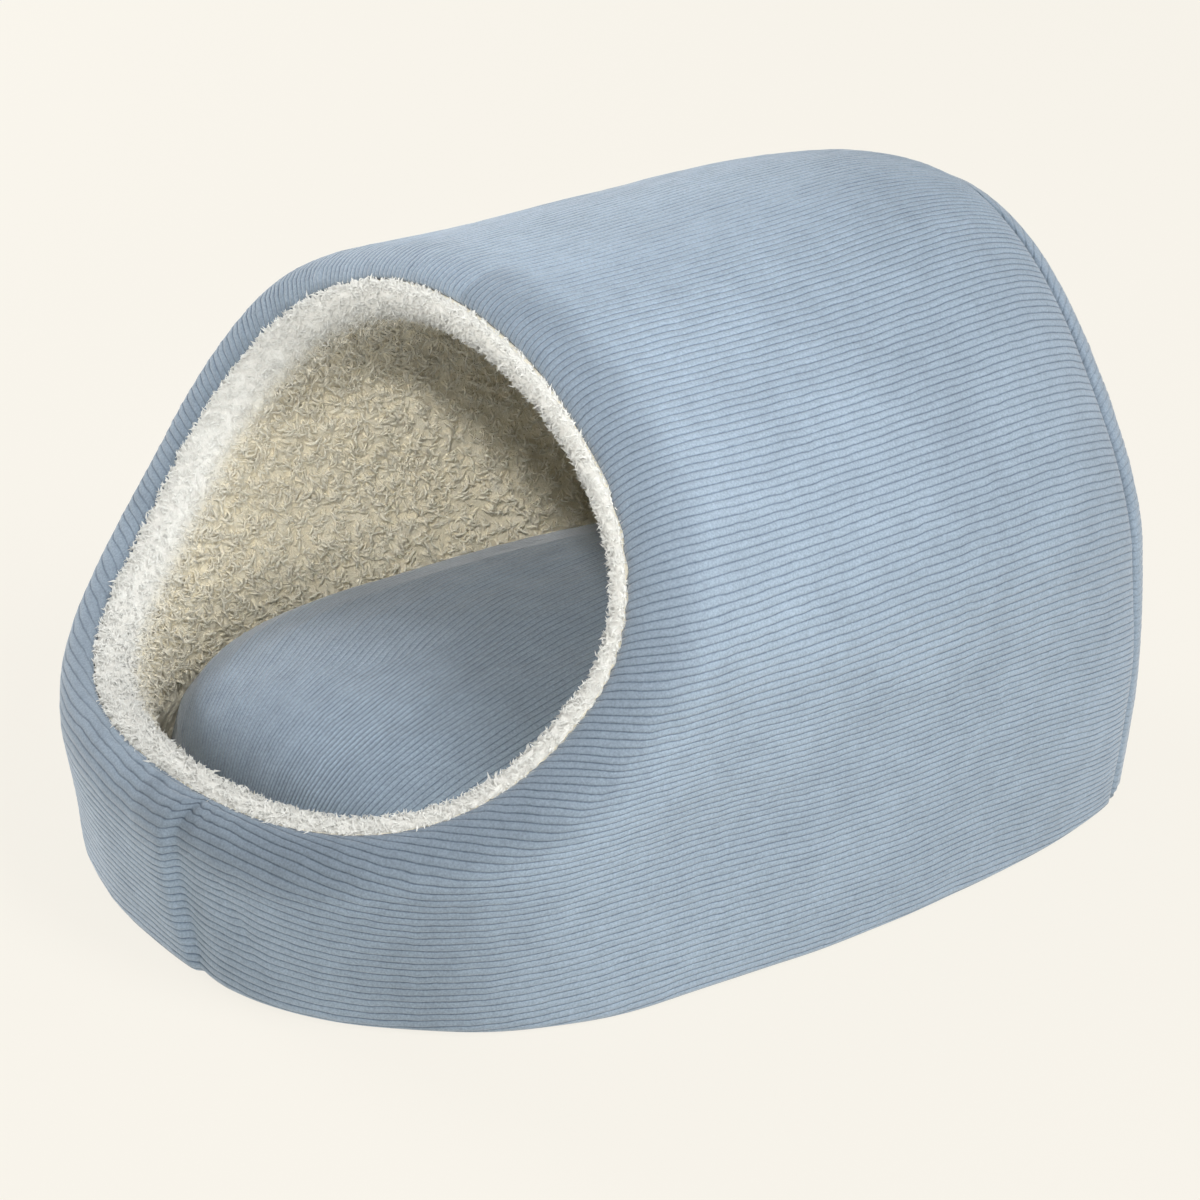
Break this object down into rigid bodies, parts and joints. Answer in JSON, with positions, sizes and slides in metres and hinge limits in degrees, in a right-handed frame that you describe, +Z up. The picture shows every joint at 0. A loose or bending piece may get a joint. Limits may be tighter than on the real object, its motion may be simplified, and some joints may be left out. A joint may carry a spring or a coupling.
{
  "type": "pet bed",
  "caption": "Covered cave-style pet bed: a padded corduroy hood with a swept rounded opening, a curly fleece lining turned out over the rim, and a loose crowned corduroy cushion.",
  "frame": {"origin": "the middle of the bed's box, on the floor under it", "axes": "+Z up; +Y from the opening to the back, the long way; +X to the right of someone facing the opening"},
  "size_m": [0.3919, 0.5029, 0.3164],
  "materials": {
    "corduroy": "pale blue-grey cut-pile corduroy with wales about 4 mm apart, matt with a soft pile sheen",
    "cushion_corduroy": "the same pale blue-grey corduroy, its wales running from front to back",
    "base_cloth": "plain blue-grey woven cloth, matt (a guess: the underside isn't seen)",
    "fleece": "cream curly sherpa fleece, matt, with short lumpy locks"
  },
  "bodies": {
    "root": {"cover": "corduroy", "back_panel": "corduroy", "base_panel": "base_cloth", "lining": "fleece", "lining_back": "fleece", "cushion": "cushion_corduroy"}
  },
  "joints": []
}
